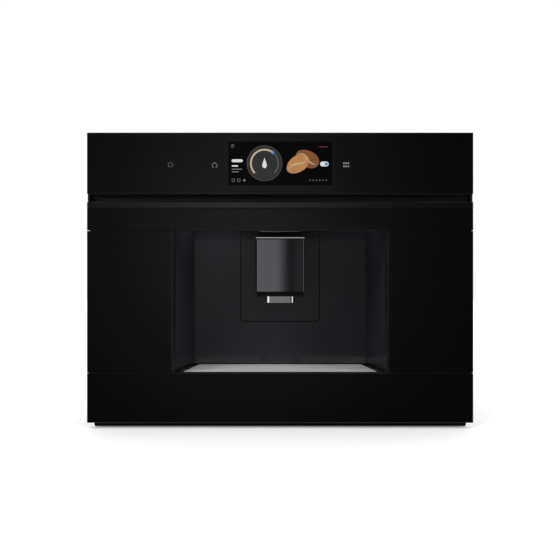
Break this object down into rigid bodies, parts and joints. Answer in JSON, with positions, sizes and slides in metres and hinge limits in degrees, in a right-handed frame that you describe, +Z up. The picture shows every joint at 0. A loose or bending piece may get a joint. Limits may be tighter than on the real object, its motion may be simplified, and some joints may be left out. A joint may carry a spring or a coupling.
{
  "type": "built in coffee machine",
  "caption": "Built-in automatic coffee machine: black glass front, side-hinged door, cup niche with a height-adjustable outlet, drip tray, water tank and display panel.",
  "frame": {"origin": "middle of the footprint, on the plane of the cabinet shelf that the machine stands on", "axes": "+X to the right as seen from the front, +Y to the back of the cabinet, +Z up; the front faces -Y"},
  "size_m": [0.594, 0.385, 0.455],
  "materials": {
    "front_glass": "polished black glass, opaque",
    "display": "dark screen behind polished glass",
    "grip_strip": "dark satin bevelled strip",
    "front_plastic": "black moulded plastic",
    "niche_plastic": "black satin moulded plastic",
    "casing_steel": "zinc coated sheet steel",
    "black_steel": "black powder coat",
    "plate_steel": "brushed stainless steel",
    "cover_steel": "dark satin stainless steel",
    "bright_metal": "polished",
    "clear_plastic": "clear smoky plastic",
    "lid_plastic": "dark grey moulded plastic",
    "works_plastic": "grey moulded plastic",
    "float_plastic": "red plastic",
    "rocker_plastic": "black plastic",
    "lamp_cover": "frosted white plastic",
    "circuit_board": "green lacquered board with parts",
    "magnet": "plated magnet",
    "machine_steel": "plated machine steel",
    "cast_aluminium": "cast and blasted"
  },
  "bodies": {
    "chassis": {"front_frame": "black_steel", "left_side_panel": "casing_steel", "right_side_panel": "casing_steel", "rear_panel": "casing_steel", "top_cover": "casing_steel", "base_pan": "casing_steel", "housing_screws": "bright_metal", "inner_fascia": "front_plastic", "shelf_deck": "casing_steel", "left_bay": "front_plastic", "right_bay": "front_plastic", "niche_liner": "niche_plastic", "outlet_backplate": "niche_plastic", "outlet_rails": "bright_metal", "niche_lamp": "lamp_cover", "control_glass": "front_glass", "display_screen": "display", "control_housing": "front_plastic", "control_board": "circuit_board", "finger_recess": "front_plastic", "hinge_brackets": "casing_steel", "tray_runners": "works_plastic", "grinder_housing": "works_plastic", "grinder_motor": "machine_steel", "brew_housing": "works_plastic", "water_pump": "machine_steel", "thermoblock": "cast_aluminium", "power_board": "circuit_board", "mains_inlet": "works_plastic", "switch_frame": "front_plastic", "bean_container": "clear_plastic", "bean_cap": "lid_plastic", "milk_container": "clear_plastic"},
    "door": {"bottom_glass": "front_glass", "left_glass": "front_glass", "right_glass": "front_glass", "band_glass": "front_glass", "door_grip": "grip_strip", "door_frame": "front_plastic", "door_back_panel": "black_steel", "window_trim": "niche_plastic", "hinge_pins": "bright_metal", "door_magnets": "magnet"},
    "outlet": {"outlet_carriage": "front_plastic", "outlet_housing": "front_plastic", "outlet_trim": "bright_metal", "outlet_nozzle": "bright_metal"},
    "outlet_front": {"outlet_cover": "cover_steel"},
    "tray": {"drip_tray": "niche_plastic", "grounds_container": "niche_plastic"},
    "tray_plate": {"drip_plate": "plate_steel"},
    "level_float": {"tray_float": "float_plastic"},
    "tank": {"water_tank": "clear_plastic", "tank_cap": "lid_plastic"},
    "tank_lid": {"tank_flap": "lid_plastic"},
    "bean_lid": {"bean_flap": "lid_plastic"},
    "milk_top": {"milk_lid": "lid_plastic"},
    "burr": {"grinder_burr": "machine_steel"},
    "piston": {"brew_piston": "cast_aluminium"},
    "mains_rocker": {"switch_rocker": "rocker_plastic"}
  },
  "joints": [
    {"name": "door_swing", "type": "hinge", "parent": "chassis", "child": "door", "pos_m": [-0.292, -0.1845, 0.185], "axis": [0, 0, -1], "range_deg": [0, 105]},
    {"name": "tray_slide", "type": "slide", "parent": "chassis", "child": "tray", "axis": [0, -1, 0], "range_m": [0, 0.1925]},
    {"name": "tank_slide", "type": "slide", "parent": "chassis", "child": "tank", "axis": [0, -1, 0], "range_m": [0, 0.156]},
    {"name": "outlet_height", "type": "slide", "parent": "chassis", "child": "outlet", "axis": [0, 0, 1], "range_m": [-0.035, 0.032]},
    {"name": "outlet_cover_pull", "type": "slide", "parent": "outlet", "child": "outlet_front", "axis": [0, -1, 0], "range_m": [0, 0.014]},
    {"name": "plate_lift", "type": "slide", "parent": "tray", "child": "tray_plate", "axis": [0, 0, 1], "range_m": [0, 0.06]},
    {"name": "float_rise", "type": "slide", "parent": "tray", "child": "level_float", "axis": [0, 0, 1], "range_m": [0, 0.015]},
    {"name": "tank_flap_hinge", "type": "hinge", "parent": "tank", "child": "tank_lid", "pos_m": [0.22, -0.0805, 0.3182], "axis": [-1, 0, 0], "range_deg": [0, 95]},
    {"name": "bean_flap_hinge", "type": "hinge", "parent": "chassis", "child": "bean_lid", "pos_m": [-0.22, -0.0805, 0.3229], "axis": [-1, 0, 0], "range_deg": [0, 95]},
    {"name": "milk_lid_lift", "type": "slide", "parent": "chassis", "child": "milk_top", "axis": [0, 0, 1], "range_m": [0, 0.014]},
    {"name": "burr_spin", "type": "hinge", "parent": "chassis", "child": "burr", "pos_m": [-0.22, 0.0535, 0.225], "axis": [0, 0, 1], "continuous": true},
    {"name": "piston_press", "type": "slide", "parent": "chassis", "child": "piston", "axis": [0, 0, -1], "range_m": [0, 0.036]},
    {"name": "rocker_press", "type": "hinge", "parent": "chassis", "child": "mains_rocker", "pos_m": [0.215, -0.16, 0.05], "axis": [-1, 0, 0], "range_deg": [0, 16]}
  ],
  "couplings": [
    {"joint": "tray_slide", "follows": "door_swing", "m_per_rad": 0.105},
    {"joint": "tank_slide", "follows": "door_swing", "m_per_rad": 0.085}
  ]
}
